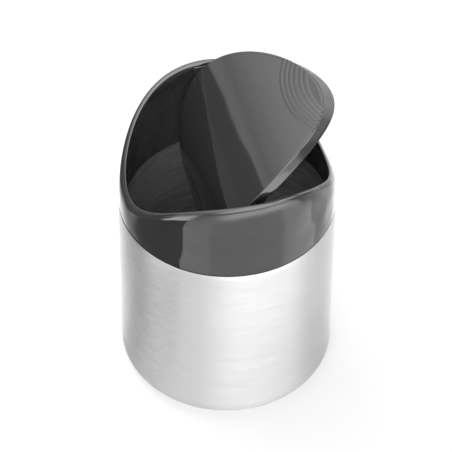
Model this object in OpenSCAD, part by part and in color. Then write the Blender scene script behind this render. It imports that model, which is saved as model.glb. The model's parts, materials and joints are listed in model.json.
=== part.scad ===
/* [Can] */
// Outside diameter of the steel can and of the collar above it
can_d = 120; // [100:1:150]
// Height of the steel can, up to the collar's seat
can_h = 118; // [90:1:150]
// Thickness of the drawn sheet
can_wall = 0.6; // [0.4:0.1:1]
// Outside radius of the drawn base corner
base_round = 10.5; // [6:0.5:14]
// Diameter of the ring that the can stands on, at its inner edge
foot_ring_d = 84; // [70:1:90]
// Height of the stamped panel inside that ring
panel_lift = 0.8; // [0.4:0.1:1.5]
// Width of the sloping step from the ring to the panel
panel_step = 2.2; // [1:0.1:4]

/* [Collar] */
// Height of the rim's crown above the seat, beside the pivots
crown_rise = 50.8; // [46:0.5:56]
// Even part of the rim's fall from its crown to its low ends
rim_bow = 17.5; // [12:0.1:19]
// Steep part of that fall, which comes near the low ends
rim_fall = 23.3; // [16:0.1:25]
// Thickness of the collar's wall
collar_wall = 2.7; // [2.5:0.1:3.2]
// Width of the rolled lip, from the outside to the mouth
lip_w = 4.4; // [4:0.1:5]
// Width of the lip's outer round, up to its crest
lip_round_w = 2.4; // [2:0.1:3]
// Height of the lip's outer round
lip_round_h = 8; // [4:0.5:9]
// Fall of the lip from its crest to the mouth
lip_fall = 2; // [1:0.1:2.4]
// Height of the lip's upright face round the mouth
lip_face = 2.4; // [1:0.1:3]
// Height of the slope under the lip
lip_under = 1.4; // [0.8:0.1:2]
// Depth of the plug that goes down into the can
plug_depth = 7.5; // [5:0.5:10]
// Clearance of the plug in the can, on the radius
plug_gap = 0.1; // [0.05:0.05:0.3]
// Chamfer at the foot of the plug
plug_lead = 0.7; // [0.3:0.1:1]
// Size of the small groove where the collar meets the can
seam_groove = 0.35; // [0.2:0.05:0.5]

/* [Pivot] */
// Height of the pivot axis below the rim's crown
pivot_drop = 5.3; // [5:0.1:6]
// Radius of the lid's stub pins
pin_r = 1.4; // [1.2:0.1:1.5]
// Running clearance of a pin in its bore, on the radius
pin_gap = 0.08; // [0.03:0.01:0.1]
// Depth of the pin's seat in the collar's bearing boss
pin_seat = 3; // [2.5:0.1:3.2]
// Free length past the pin's end, in its bore
pin_end_gap = 0.4; // [0.2:0.1:0.6]
// Height that the bearing boss stands proud of the lip
boss_proud = 0.4; // [0.2:0.1:0.8]
// Depth of the bearing boss below the pivot axis
boss_drop = 9; // [8.5:0.5:12]
// Half width of each lug, and of the stop faces on its sides
lug_half = 4.4; // [4:0.1:4.8]
// Reach of the stop block from the mouth of the lip
stop_reach = 4.7; // [4.6:0.1:4.8]
// Depth of the stop block's underside below the pivot axis
stop_drop = 8; // [7:0.1:8.1]
// Height of the gusset under the lug, down the collar's wall
gusset_h = 8; // [4:0.5:12]
// Clearance over and under the pins and between lug and lid
lug_gap = 0.3; // [0.2:0.05:0.4]

/* [Lid] */
// Gap all round between the lid's edge and the lip's mouth
lid_gap = 2.5; // [2:0.1:3]
// Fall of the lid's curved top from its crown to its ends
lid_fall = 28.7; // [26:0.1:30]
// Height of the lid's crown over the pivot axis
lid_rise = 3.05; // [2.9:0.05:3.4]
// Thickness of the lid's top
lid_wall = 1.8; // [1.4:0.1:1.8]
// Thickness of the lid's skirt
skirt_wall = 1.8; // [1.4:0.1:2]
// Height of the skirt round the lid's edge
skirt_h = 6.1; // [5:0.1:6.3]
// Angle that the lid is tipped to, from closed to its stop
lid_open = 49; // [46:1:50]
// Half width of the notch in the skirt round each pivot
notch_half = 9.2; // [9.1:0.1:9.6]
// Gap between the notch and the lug's stop face when tipped
stop_gap = 0.2; // [0.1:0.05:0.3]
// Thickness of the web that closes the notch and holds the pin
web_wall = 1.8; // [1.4:0.1:2.2]
// Depth of the web's foot below the pivot axis
web_drop = 6; // [5:0.1:7]
// Half width of the web's foot
web_foot_half = 5; // [4:0.1:6]
// Half width of the web where it joins the skirt
web_half = 11; // [10.6:0.1:11.4]

/* [Grip ribs] */
// Number of ribs at each end of the lid
rib_count = 7; // [3:1:8]
// Distance from one rib to the next
rib_pitch = 1.9; // [1.6:0.1:2]
// Width of a rib
rib_w = 1; // [0.6:0.1:1.4]
// Height of a rib
rib_h = 0.5; // [0.3:0.05:0.8]
// Radius of the first rib, the longest; the others have the same centre
rib_arc_r = 72; // [60:1:90]
// Distance of the last rib from the lid's end
rib_margin = 4.7; // [3:0.1:8]

/* [Hidden] */
$fn = 128;

// Length that one solid runs into another, or a cut runs past its face
overrun = 1;
// Depth to which lugs and ribs are rooted in the wall that carries them
root = 0.5;

can_r = can_d / 2;
crown_h = can_h + crown_rise;
pivot_h = crown_h - pivot_drop;
collar_in_r = can_r - collar_wall;
plug_r = can_r - can_wall - plug_gap;
plug_h = can_h - plug_depth;
crest_r = can_r - lip_round_w;
mouth_r = can_r - lip_w;
boss_face_r = mouth_r - boss_proud;
bore_end_r = boss_face_r + pin_seat + pin_end_gap;
stop_face_r = mouth_r - stop_reach;
lid_r = mouth_r - lid_gap;
lid_barrel_r = (lid_r * lid_r + lid_fall * lid_fall) / (2 * lid_fall);
skirt_in_r = lid_r - skirt_wall;
web_out_r = stop_face_r - 2 * lug_gap;
web_in_r = web_out_r - web_wall;
pin_end_r = boss_face_r + pin_seat;
lid_centre_z = lid_rise - lid_barrel_r;
rib_start = lid_r - rib_margin - (rib_count - 1) * rib_pitch;
rib_centre = rib_start + rib_arc_r;

// Stations round the collar, and steps of its lip's two rounds
collar_stations = 96;
outer_steps = 7;
inner_steps = 4;

// Height of the rim at a distance x from the pivot axis
function rim_z(x) = crown_h - rim_bow * pow(x / can_r, 2) - rim_fall * pow(x / can_r, 4);

// A point of the collar that keeps its height, at radius r and angle a
function fixed_point(r, z, a) = [r * cos(a), r * sin(a), z];

// A point of the collar that follows the rim, dz above its crest
function rim_point(r, dz, a) = [r * cos(a), r * sin(a), rim_z(r * cos(a)) + dz];

// The collar's section at angle a, from the seat outwards and over the lip
function collar_section(a) = [
    fixed_point(plug_r, can_h, a),
    fixed_point(can_r - seam_groove, can_h, a),
    fixed_point(can_r, can_h + seam_groove, a),
    for (i = [0:outer_steps])
        let (t = 90 * i / outer_steps)
        rim_point(crest_r + lip_round_w * cos(t), lip_round_h * (sin(t) - 1), a),
    for (i = [1:inner_steps])
        let (t = 90 * i / inner_steps)
        rim_point(crest_r - (crest_r - mouth_r) * sin(t), lip_fall * (cos(t) - 1), a),
    rim_point(mouth_r, -lip_fall - lip_face, a),
    rim_point(collar_in_r, -lip_fall - lip_face - lip_under, a),
    fixed_point(collar_in_r, plug_h, a),
    fixed_point(plug_r - plug_lead, plug_h, a),
    fixed_point(plug_r, plug_h + plug_lead, a)
];

// Sweeps the collar's section once round, as triangles
module collar_ring() {
    sections = [for (k = [0:collar_stations - 1]) collar_section(360 * k / collar_stations)];
    count = len(sections[0]);
    points = [for (section = sections) each section];
    faces = [
        for (k = [0:collar_stations - 1])
            for (j = [0:count - 1])
                let (
                    here = k * count,
                    next = ((k + 1) % collar_stations) * count,
                    up = (j + 1) % count
                )
                each [
                    [here + j, here + up, next + j],
                    [here + up, next + up, next + j]
                ]
    ];
    polyhedron(points, faces);
}

// Extrudes an outline drawn in X and Z along Y, from y0 to y1
module along_y(y0, y1) {
    translate([0, y1, 0])
        rotate([90, 0, 0])
            linear_extrude(height = y1 - y0)
                children();
}

// Extrudes an outline drawn in Y and Z along X, centred
module along_x(width) {
    rotate([90, 0, 90])
        linear_extrude(height = width, center = true)
            children();
}

// The lug's outline seen along the pivot axis: upright stop faces and a roof under the tipping lid
module lug_outline() {
    // The roof keeps this distance from the axis, square to the lid at its stop
    roof_reach = lid_rise - lid_wall - 2 * lug_gap;
    top_z = -pin_r - lug_gap;
    top_half = (roof_reach - top_z * cos(lid_open)) / sin(lid_open);
    side_z = (roof_reach - lug_half * sin(lid_open)) / cos(lid_open);
    polygon([
        [-lug_half, -stop_drop - gusset_h],
        [lug_half, -stop_drop - gusset_h],
        [lug_half, side_z],
        [top_half, top_z],
        [-top_half, top_z],
        [-lug_half, side_z]
    ]);
}

// The stop block and the gusset that carries it, seen from the side
module stop_side_outline() {
    polygon([
        [stop_face_r, 0],
        [stop_face_r, -stop_drop],
        [lid_r + lug_gap, -stop_drop],
        [collar_in_r + root, -stop_drop - gusset_h],
        [collar_in_r + root, 0]
    ]);
}

// One pivot lug on the +Y side: bearing boss under the lip, and stop block
module pivot_lug() {
    translate([0, 0, pivot_h]) {
        intersection() {
            along_y(stop_face_r, collar_in_r + root) lug_outline();
            along_x(2 * lug_half) stop_side_outline();
        }
        translate([-lug_half, boss_face_r, -boss_drop])
            cube([2 * lug_half, collar_in_r + root - boss_face_r, boss_drop + pivot_drop - lip_fall - root]);
    }
}

// Blind bore for one of the lid's pins, on the +Y side
module pin_bore() {
    translate([0, bore_end_r, pivot_h])
        rotate([90, 0, 0])
            cylinder(r = pin_r + pin_gap, h = bore_end_r - boss_face_r + overrun);
}

// Section of the drawn can: wall, round corner, foot ring and stamped panel
module can_section() {
    ring_r = foot_ring_d / 2;
    translate([can_r - can_wall, base_round])
        square([can_wall, can_h - base_round]);
    translate([can_r - base_round, base_round])
        intersection() {
            difference() {
                circle(r = base_round);
                circle(r = base_round - can_wall);
            }
            translate([0, -base_round]) square([base_round, base_round]);
        }
    translate([ring_r, 0])
        square([can_r - base_round - ring_r, can_wall]);
    polygon([
        [ring_r, 0],
        [ring_r, can_wall],
        [ring_r - panel_step, panel_lift + can_wall],
        [0, panel_lift + can_wall],
        [0, panel_lift],
        [ring_r - panel_step, panel_lift]
    ]);
}

// Horizontal barrel along the pivot axis, for the lid's curved top and skirt
module barrel(r, drop) {
    translate([0, 0, lid_centre_z - drop])
        rotate([90, 0, 0])
            cylinder(r = r, h = 2 * (lid_r + overrun), center = true);
}

// Upright disc or column of radius r that trims the lid in plan
module plan_column(r) {
    translate([0, 0, lid_centre_z])
        cylinder(r = r, h = lid_barrel_r + rib_h + overrun);
}

// The curved top, an even sheet
module lid_top() {
    intersection() {
        plan_column(lid_r);
        difference() {
            barrel(lid_barrel_r, 0);
            barrel(lid_barrel_r - lid_wall, 0);
        }
    }
}

// Outline of the notch in the skirt, seen along the pivot axis
module notch_outline() {
    // The flanks lie flat against the lug's stop faces when the lid is tipped
    flank = lug_half + stop_gap;
    corner_z = (flank - notch_half * cos(lid_open)) / sin(lid_open);
    top_half = (flank - lid_rise * sin(lid_open)) / cos(lid_open);
    polygon([
        [-notch_half, -skirt_h],
        [notch_half, -skirt_h],
        [notch_half, corner_z],
        [top_half, lid_rise],
        [-top_half, lid_rise],
        [-notch_half, corner_z]
    ]);
}

// The skirt, even in height, with a notch round each pivot
module lid_skirt() {
    difference() {
        intersection() {
            difference() {
                plan_column(lid_r);
                plan_column(skirt_in_r);
            }
            difference() {
                barrel(lid_barrel_r, 0);
                barrel(lid_barrel_r, skirt_h);
            }
        }
        for (side = [0, 180])
            rotate([0, 0, side])
                along_y(web_in_r, lid_r + overrun) notch_outline();
    }
}

// Flat web behind one notch on the +Y side, with the stub pin on it
module pivot_web() {
    intersection() {
        along_y(web_in_r, web_out_r)
            polygon([
                [-web_half, lid_rise],
                [-web_half, lid_rise - skirt_h],
                [-web_foot_half, -web_drop],
                [web_foot_half, -web_drop],
                [web_half, lid_rise - skirt_h],
                [web_half, lid_rise]
            ]);
        barrel(lid_barrel_r - lid_wall / 2, 0);
    }
    translate([0, pin_end_r, 0])
        rotate([90, 0, 0])
            cylinder(r = pin_r, h = pin_end_r - web_out_r + web_wall / 2);
}

// Upright ring of radius r, as wide as a rib, that cuts one rib out of the raised sheet
module rib_ring(r) {
    ring_h = lid_barrel_r + rib_h + overrun;
    translate([rib_centre, 0, lid_centre_z])
        difference() {
            cylinder(r = r + rib_w / 2, h = ring_h);
            translate([0, 0, -overrun])
                cylinder(r = r - rib_w / 2, h = ring_h + 2 * overrun);
        }
}

// The grip ribs at the lid's +X end: arcs about one centre, standing on the barrel
module grip_ribs() {
    for (i = [0:rib_count - 1])
        intersection() {
            plan_column(lid_r);
            difference() {
                barrel(lid_barrel_r + rib_h, 0);
                barrel(lid_barrel_r - root, 0);
            }
            rib_ring(rib_arc_r - i * rib_pitch);
        }
}

// The lid closed, with the pivot axis through the origin along Y
module lid_closed() {
    lid_top();
    lid_skirt();
    for (side = [0, 180])
        rotate([0, 0, side]) {
            pivot_web();
            grip_ribs();
        }
}

// Drawn can of brushed stainless steel
module steel_body() {
    color([0.78, 0.78, 0.77])
        rotate_extrude()
            can_section();
}

// Moulded collar that plugs into the can and carries the lid's pivots
module collar() {
    color([0.16, 0.16, 0.17])
        difference() {
            union() {
                collar_ring();
                for (side = [0, 180])
                    rotate([0, 0, side]) pivot_lug();
            }
            for (side = [0, 180])
                rotate([0, 0, side]) pin_bore();
        }
}

// Moulded swing lid, tipped to its stop with the +X end up
module swing_lid() {
    color([0.22, 0.22, 0.23])
        translate([0, 0, pivot_h])
            rotate([0, -lid_open, 0])
                lid_closed();
}

steel_body();
collar();
swing_lid();
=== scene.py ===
"""Tabletop swing bin: a brushed steel can, a polished plastic collar and a barrel-topped swing lid."""

import json
import logging
import math
from dataclasses import dataclass
from enum import Enum
from typing import Callable, NamedTuple, Sequence, Union

import bmesh
import bpy
from bpy.types import Material, Mesh, Object
from mathutils import Matrix, Vector

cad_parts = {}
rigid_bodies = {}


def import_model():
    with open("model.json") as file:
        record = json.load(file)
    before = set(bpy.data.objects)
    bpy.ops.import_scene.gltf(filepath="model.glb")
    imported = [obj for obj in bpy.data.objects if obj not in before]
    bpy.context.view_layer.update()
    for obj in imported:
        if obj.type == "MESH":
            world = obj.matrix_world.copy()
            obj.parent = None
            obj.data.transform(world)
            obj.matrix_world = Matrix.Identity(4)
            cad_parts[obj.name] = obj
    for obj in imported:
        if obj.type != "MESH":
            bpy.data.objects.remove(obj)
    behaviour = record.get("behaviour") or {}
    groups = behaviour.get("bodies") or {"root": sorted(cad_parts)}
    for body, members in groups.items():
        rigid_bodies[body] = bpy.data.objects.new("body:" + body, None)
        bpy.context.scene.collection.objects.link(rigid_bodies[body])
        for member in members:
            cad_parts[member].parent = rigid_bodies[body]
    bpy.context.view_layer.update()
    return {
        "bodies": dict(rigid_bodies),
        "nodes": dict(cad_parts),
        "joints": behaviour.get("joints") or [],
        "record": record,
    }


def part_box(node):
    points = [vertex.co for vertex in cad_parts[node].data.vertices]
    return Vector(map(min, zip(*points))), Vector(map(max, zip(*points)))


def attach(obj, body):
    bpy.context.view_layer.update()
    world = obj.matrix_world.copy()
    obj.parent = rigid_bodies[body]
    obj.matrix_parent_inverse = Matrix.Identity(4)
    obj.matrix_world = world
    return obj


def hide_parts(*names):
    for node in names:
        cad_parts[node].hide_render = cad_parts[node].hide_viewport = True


LOG = logging.getLogger("swing_bin")
MM = 0.001
SHARP_ANGLE = math.radians(32)
MERGE_DISTANCE = 0.002 * MM
ROUND_STEPS = 3
ROD_SIDES = 32
Span = tuple[float, float]
Stops = Sequence[Span]


class Field:
    """One output socket of a node tree. Python's operators on it add Math nodes to the tree."""

    def __init__(self, tree: "Tree", socket: bpy.types.NodeSocket) -> None:
        """Wraps an output socket of a node in a tree."""
        self.tree = tree
        self.socket = socket

    def __add__(self, other: "Value") -> "Field":
        """Gives self + other."""
        return self.tree.math("ADD", self, other)

    def __radd__(self, other: "Value") -> "Field":
        """Gives other + self."""
        return self.tree.math("ADD", other, self)

    def __sub__(self, other: "Value") -> "Field":
        """Gives self - other."""
        return self.tree.math("SUBTRACT", self, other)

    def __rsub__(self, other: "Value") -> "Field":
        """Gives other - self."""
        return self.tree.math("SUBTRACT", other, self)

    def __mul__(self, other: "Value") -> "Field":
        """Gives self * other."""
        return self.tree.math("MULTIPLY", self, other)

    def __rmul__(self, other: "Value") -> "Field":
        """Gives other * self."""
        return self.tree.math("MULTIPLY", other, self)

    def __truediv__(self, other: "Value") -> "Field":
        """Gives self / other."""
        return self.tree.math("DIVIDE", self, other)

    def __pow__(self, other: "Value") -> "Field":
        """Gives self to the power of other."""
        return self.tree.math("POWER", self, other)

    def sibling(self, name: str) -> "Field":
        """Gives another output of the same node."""
        return Field(self.tree, self.socket.node.outputs[name])


Value = Union[Field, float]


class Tree:
    """A shader or geometry node tree that is written as expressions."""

    def __init__(self, owner: bpy.types.NodeTree) -> None:
        """Wraps the node tree of a material, a world or a geometry group, and clears it."""
        self.owner = owner
        owner.nodes.clear()

    def node(
        self,
        kind: str,
        sockets: dict[int | str, object] | None = None,
        *,
        settings: dict[str, object] | None = None,
        out: int | str = 0,
    ) -> Field | None:
        """Adds one node.

        Args:
            kind: The node's type.
            sockets: A value or a Field for each input, by name or place.
            settings: Its properties, set before its sockets. "stops" sets a ramp's stops.
            out: The output to give, by name or place.

        Returns:
            That output, or None for a node with no outputs.
        """
        made = self.owner.nodes.new(kind)
        for name, value in (settings or {}).items():
            if name == "stops":
                self._set_stops(made.color_ramp, value)
            else:
                setattr(made, name, value)
        for key, value in (sockets or {}).items():
            if isinstance(value, Field):
                self.owner.links.new(value.socket, made.inputs[key])
            else:
                made.inputs[key].default_value = value
        return Field(self, made.outputs[out]) if len(made.outputs) else None

    def math(self, operation: str, *operands: Value) -> Field:
        """Adds a Math node with its inputs in order, and gives its result."""
        return self.node("ShaderNodeMath", dict(enumerate(operands)), settings={"operation": operation})

    def vector(self, operation: str, *operands: object, out: str = "Vector") -> Field:
        """Adds a Vector Math node with its inputs in order, and gives its result."""
        settings = {"operation": operation}
        return self.node("ShaderNodeVectorMath", dict(enumerate(operands)), settings=settings, out=out)

    def join(self, x: Value, y: Value, z: Value) -> Field:
        """Makes a vector of three numbers."""
        return self.node("ShaderNodeCombineXYZ", {"X": x, "Y": y, "Z": z})

    def split(self, vector: Field) -> tuple[Field, Field, Field]:
        """Gives a vector's three numbers."""
        x = self.node("ShaderNodeSeparateXYZ", {0: vector})
        return x, x.sibling("Y"), x.sibling("Z")

    def hypotenuse(self, x: Field, y: Field) -> Field:
        """Gives the length of two distances at right angles."""
        return self.math("SQRT", x * x + y * y)

    def ease(self, value: Value, low: float, high: float) -> Field:
        """Rises smoothly from 0 to 1 as a number goes from low to high."""
        sockets = {"Value": value, "From Min": low, "From Max": high}
        return self.node("ShaderNodeMapRange", sockets, settings={"interpolation_type": "SMOOTHSTEP"})

    def blend(self, first: Field, second: Field, share: Field) -> Field:
        """Gives the first number where the share is 0 and the second where it is 1."""
        return first * (1.0 - share) + second * share

    def place(self) -> Field:
        """Gives the shaded place in the piece's own space."""
        return self.node("ShaderNodeTexCoord", out="Object")

    def noise(self, place: Field, scale: float, detail: float, roughness: float = 0.5) -> Field:
        """Gives even noise from 0 to 1, with its scale in waves per metre."""
        sockets = {"Vector": place, "Scale": scale, "Detail": detail, "Roughness": roughness}
        return self.node("ShaderNodeTexNoise", sockets)

    def bump(self, height: Field, depth: float, **others: object) -> Field:
        """Gives the normal where a height from 0 to 1 stands out by up to a depth."""
        sockets = {"Strength": 1.0, "Distance": depth, "Height": height, **others}
        return self.node("ShaderNodeBump", sockets)

    def surface(self, shader: Field, owner: str = "Material") -> None:
        """Ends the tree of a material or a world with its shader."""
        self.node(f"ShaderNodeOutput{owner}", {"Surface": shader})

    @staticmethod
    def _set_stops(ramp: bpy.types.ColorRamp, stops: Stops) -> None:
        """Sets the place and the grey level of each of a ramp's stops."""
        while len(ramp.elements) < len(stops):
            ramp.elements.new(1.0)
        for element, (place, grey) in zip(ramp.elements, stops):
            element.position = place
            element.color = (grey, grey, grey, 1.0)


class GeometryTree(Tree):
    """A Geometry Nodes group with named inputs, which makes plain meshes."""

    def __init__(self, name: str, values: dict[str, int | float]) -> None:
        """Makes the group, with an input for each value and one for the finish.

        Args:
            name: The group's name.
            values: Each input's name and value.
        """
        group = bpy.data.node_groups.new(name, "GeometryNodeTree")
        super().__init__(group)
        self.values = values
        kinds = {label: "Int" if isinstance(value, int) else "Float" for label, value in values.items()}
        for label, kind in {"Geometry": "Geometry", **kinds, "Material": "Material"}.items():
            group.interface.new_socket(label, in_out="INPUT", socket_type=f"NodeSocket{kind}")
        group.interface.new_socket("Geometry", in_out="OUTPUT", socket_type="NodeSocketGeometry")
        self.entry = self.node("NodeGroupInput")

    def given(self, name: str) -> Field:
        """Gives one of the group's inputs."""
        return self.entry.sibling(name)

    def position(self) -> tuple[Field, Field, Field]:
        """Gives the X, Y and Z of each point of the geometry that the numbers are used on."""
        return self.split(self.node("GeometryNodeInputPosition"))

    def moved(self, geometry: Field, place: Field) -> Field:
        """Moves each point of a geometry to a place."""
        return self.node("GeometryNodeSetPosition", {"Geometry": geometry, "Position": place})

    def close(self, geometry: Field) -> None:
        """Ends the tree: real geometry, its material, and the group's output."""
        real = self.node("GeometryNodeRealizeInstances", {"Geometry": geometry})
        sockets = {"Geometry": real, "Material": self.given("Material")}
        dressed = self.node("GeometryNodeSetMaterial", sockets)
        self.node("NodeGroupOutput", {"Geometry": dressed})

    def grow(self, name: str, start: Mesh, material: Material) -> Mesh:
        """Runs the group on a mesh.

        Args:
            name: The new mesh's name.
            start: The mesh that goes in.
            material: Its finish.

        Returns:
            The mesh that comes out, with no modifier behind it.
        """
        holder = placed(name, start)
        modifier = holder.modifiers.new("rule", "NODES")
        modifier.node_group = self.owner
        values = {**self.values, "Material": material}
        for item in self.owner.interface.items_tree:
            if item.in_out == "INPUT" and item.name in values:
                modifier[item.identifier] = values[item.name]
        mesh = evaluated_mesh(holder)
        bpy.data.objects.remove(holder)
        mesh.name = name
        return mesh


class SectionPoint(NamedTuple):
    """A point of a section: its radius, its height, how it bends with the rule along X, and how
    far it draws in and sinks at both ends of X."""

    radius: float
    height: float
    bend: float = 0.0
    draw: float = 0.0
    sink: float = 0.0


Rule = Callable[[GeometryTree, Field, Field], Value]


def placed(name: str, data: bpy.types.ID) -> Object:
    """Makes an object and puts it in the scene."""
    made = bpy.data.objects.new(name, data)
    bpy.context.scene.collection.objects.link(made)
    return made


def evaluated_mesh(holder: Object) -> Mesh:
    """Gives the mesh of an object with its modifiers applied."""
    bpy.context.view_layer.update()
    depsgraph = bpy.context.evaluated_depsgraph_get()
    return bpy.data.meshes.new_from_object(holder.evaluated_get(depsgraph))


def arc(centre: Span, radii: Span, span: Span, steps: int, bend: float = 0.0) -> list[SectionPoint]:
    """Points of a section along an elliptical arc, both ends included.

    Args:
        centre: Radius and height of the arc's centre.
        radii: The arc's half axes, outwards and upwards.
        span: Its first and last angle in degrees, from outwards towards up.
        steps: How many steps it takes.
        bend: The bend of every point.

    Returns:
        The points.
    """
    angles = [math.radians(span[0] + (span[1] - span[0]) * i / steps) for i in range(steps + 1)]
    return [
        SectionPoint(centre[0] + radii[0] * math.cos(t), centre[1] + radii[1] * math.sin(t), bend)
        for t in angles
    ]


def run(start: SectionPoint, end: SectionPoint, steps: int) -> list[SectionPoint]:
    """Points of a section at even steps between two others, neither end included."""
    return [SectionPoint(*(a + (b - a) * i / steps for a, b in zip(start, end))) for i in range(1, steps)]


def section_mesh(points: Sequence[SectionPoint], closed: bool) -> Mesh:
    """Makes a section a chain of edges, with what the sweep needs at each point.

    Args:
        points: The section's points.
        closed: True if the last point joins the first.

    Returns:
        The mesh.
    """
    count = len(points)
    edges = [(i, (i + 1) % count) for i in range(count if closed else count - 1)]
    mesh = bpy.data.meshes.new("section")
    mesh.from_pydata([(p.radius, p.height, 0.0) for p in points], edges, [])
    for name in SectionPoint._fields:
        layer = mesh.attributes.new(f"section_{name}", "FLOAT", "POINT")
        layer.data.foreach_set("value", [getattr(p, name) for p in points])
    return mesh


def end_share(x: Field, away: Field) -> Field:
    """Gives 1 at both ends of X, falling to 0 beside the middle, from a place's X and radius."""
    square = x * x / (away * away)
    return square * square


def sweep_tree(name: str, stations: int, values: dict[str, float], rule: Rule) -> GeometryTree:
    """Builds the tree that sweeps a section once round Z and bends it by a rule along X.

    Args:
        name: The tree's name.
        stations: How many stations there are round Z.
        values: The rule's own inputs, by name.
        rule: Gives the height to add, from the tree, the distance along X and the point's bend.

    Returns:
        The tree.
    """
    tree = GeometryTree(name, {"Stations": stations, **values})
    section = tree.node("GeometryNodeMeshToCurve", {"Mesh": tree.given("Geometry")})
    sockets = {"Resolution": tree.given("Stations"), "Radius": 1.0}
    path = tree.node("GeometryNodeCurvePrimitiveCircle", sockets)
    swept = tree.node("GeometryNodeCurveToMesh", {"Curve": path, "Profile Curve": section})
    settings = {"data_type": "FLOAT"}
    radius, height, bend, draw, sink = (
        tree.node("GeometryNodeInputNamedAttribute", {"Name": f"section_{part}"}, settings=settings)
        for part in SectionPoint._fields
    )
    x, y, _ = tree.position()
    away = tree.hypotenuse(x, y)
    share = end_share(x, away)
    reach = radius - draw * share
    along = reach * x / away
    place = tree.join(along, reach * y / away, height + rule(tree, along, bend) - sink * share)
    tree.close(tree.moved(swept, place))
    return tree


def tidy_mesh(mesh: Mesh) -> Mesh:
    """Merges a mesh's doubles, turns its faces outwards and shades it smooth up to its sharp edges."""
    cleaned = bmesh.new()
    cleaned.from_mesh(mesh)
    bmesh.ops.remove_doubles(cleaned, verts=cleaned.verts, dist=MERGE_DISTANCE)
    bmesh.ops.dissolve_degenerate(cleaned, edges=cleaned.edges, dist=MERGE_DISTANCE)
    bmesh.ops.recalc_face_normals(cleaned, faces=cleaned.faces)
    for face in cleaned.faces:
        face.smooth = True
    cleaned.to_mesh(mesh)
    cleaned.free()
    for layer in [a.name for a in mesh.attributes if a.name.startswith("section_")]:
        mesh.attributes.remove(mesh.attributes[layer])
    mesh.set_sharp_from_angle(angle=SHARP_ANGLE)
    return mesh


def loft_mesh(name: str, outlines: Sequence[Sequence[Vector]]) -> Mesh:
    """Joins outlines of equal length into one closed solid.

    Args:
        name: The mesh's name.
        outlines: The outlines, in order along the solid.

    Returns:
        The mesh.
    """
    count = len(outlines[0])
    points = [tuple(p) for outline in outlines for p in outline]
    faces = [tuple(range(count)), tuple(range(len(points) - count, len(points)))]
    for row in range(len(outlines) - 1):
        for i in range(count):
            here, there = row * count, (row + 1) * count
            following = (i + 1) % count
            faces.append((here + i, here + following, there + following, there + i))
    mesh = bpy.data.meshes.new(name)
    mesh.from_pydata(points, [], faces)
    return mesh


def along_y(outline: Sequence[Span], y: float) -> list[Vector]:
    """Sets an outline drawn in X and Z at a place along Y."""
    return [Vector((x, y, z)) for x, z in outline]


def both_sides(right: Sequence[Span]) -> list[Span]:
    """Gives a closed outline from its right half, which starts at its foot."""
    foot = (-right[0][0], right[0][1])
    return [foot, *right, *((-x, z) for x, z in reversed(right[1:]) if x)]


def rod_mesh(name: str, radius: float, ends: Span, chamfer: float) -> Mesh:
    """Makes a round rod along Y with chamfered ends.

    Args:
        name: The mesh's name.
        radius: The rod's radius.
        ends: Where it starts and ends along Y.
        chamfer: The chamfer at both ends.

    Returns:
        The mesh.
    """
    start, end = ends
    narrow = radius - chamfer
    rings = ((start, narrow), (start + chamfer, radius), (end - chamfer, radius), (end, narrow))
    turns = [math.tau * i / ROD_SIDES for i in range(ROD_SIDES)]
    outlines = [along_y([(r * math.cos(t), r * math.sin(t)) for t in turns], y) for y, r in rings]
    return loft_mesh(name, outlines)


def merged(name: str, meshes: Sequence[Mesh]) -> Mesh:
    """Puts several meshes into one new mesh."""
    whole = bmesh.new()
    for mesh in meshes:
        whole.from_mesh(mesh)
    joined = bpy.data.meshes.new(name)
    whole.to_mesh(joined)
    whole.free()
    return joined


def facing_pair(mesh: Mesh) -> list[Mesh]:
    """Gives a mesh and its copy on the opposite side, turned half round Z."""
    other = mesh.copy()
    other.transform(Matrix.Rotation(math.pi, 4, "Z"))
    return [mesh, other]


def bevelled(mesh: Mesh, width: float) -> Mesh:
    """Gives a solid with its sharp edges rounded to a width."""
    holder = placed("rounding", tidy_mesh(mesh))
    bevel = holder.modifiers.new("rounds", "BEVEL")
    bevel.width = width
    bevel.segments = ROUND_STEPS
    bevel.limit_method = "ANGLE"
    bevel.angle_limit = SHARP_ANGLE
    rounded = evaluated_mesh(holder)
    bpy.data.objects.remove(holder)
    return rounded


def cut_by(mesh: Mesh, cutters: Sequence[Mesh]) -> Mesh:
    """Takes solids out of a closed mesh.

    Args:
        mesh: The mesh to cut.
        cutters: The solids to take out.

    Returns:
        The cut mesh.
    """
    holder = placed("cutting", mesh)
    tools = []
    for cutter in cutters:
        tool = placed("cutter", tidy_mesh(cutter))
        boolean = holder.modifiers.new("cut", "BOOLEAN")
        boolean.operation = "DIFFERENCE"
        boolean.solver = "EXACT"
        boolean.object = tool
        tools.append(tool)
    result = evaluated_mesh(holder)
    for used in [holder, *tools]:
        bpy.data.objects.remove(used)
    return result


def shown(name: str, mesh: Mesh, material: Material) -> Object:
    """Gives a finished mesh its name and its finish, and puts it in the scene at the origin."""
    mesh.name = name
    mesh.materials.clear()
    mesh.materials.append(material)
    for polygon in mesh.polygons:
        polygon.material_index = 0
    return placed(name, mesh)


def new_material(name: str) -> tuple[Material, Tree]:
    """Makes a material and gives it with its empty tree."""
    made = bpy.data.materials.new(name)
    made.use_nodes = True
    return made, Tree(made.node_tree)


def outward(azimuth: float, elevation: float) -> Vector:
    """Gives the direction of an azimuth and an elevation in degrees, from -Y towards X and Z."""
    turn, rise = math.radians(azimuth), math.radians(elevation)
    return Vector((math.sin(turn) * math.cos(rise), -math.cos(turn) * math.cos(rise), math.sin(rise)))


def of_turn(degrees: float) -> float:
    """Gives a bearing in degrees as a share of a turn, from 0 at -180 to 1 at 180."""
    return degrees / 360.0 + 0.5


class Slot(Enum):
    """The record's material slots."""

    STEEL = "brushed_steel"
    COLLAR = "collar_plastic"
    LID = "lid_plastic"


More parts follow.
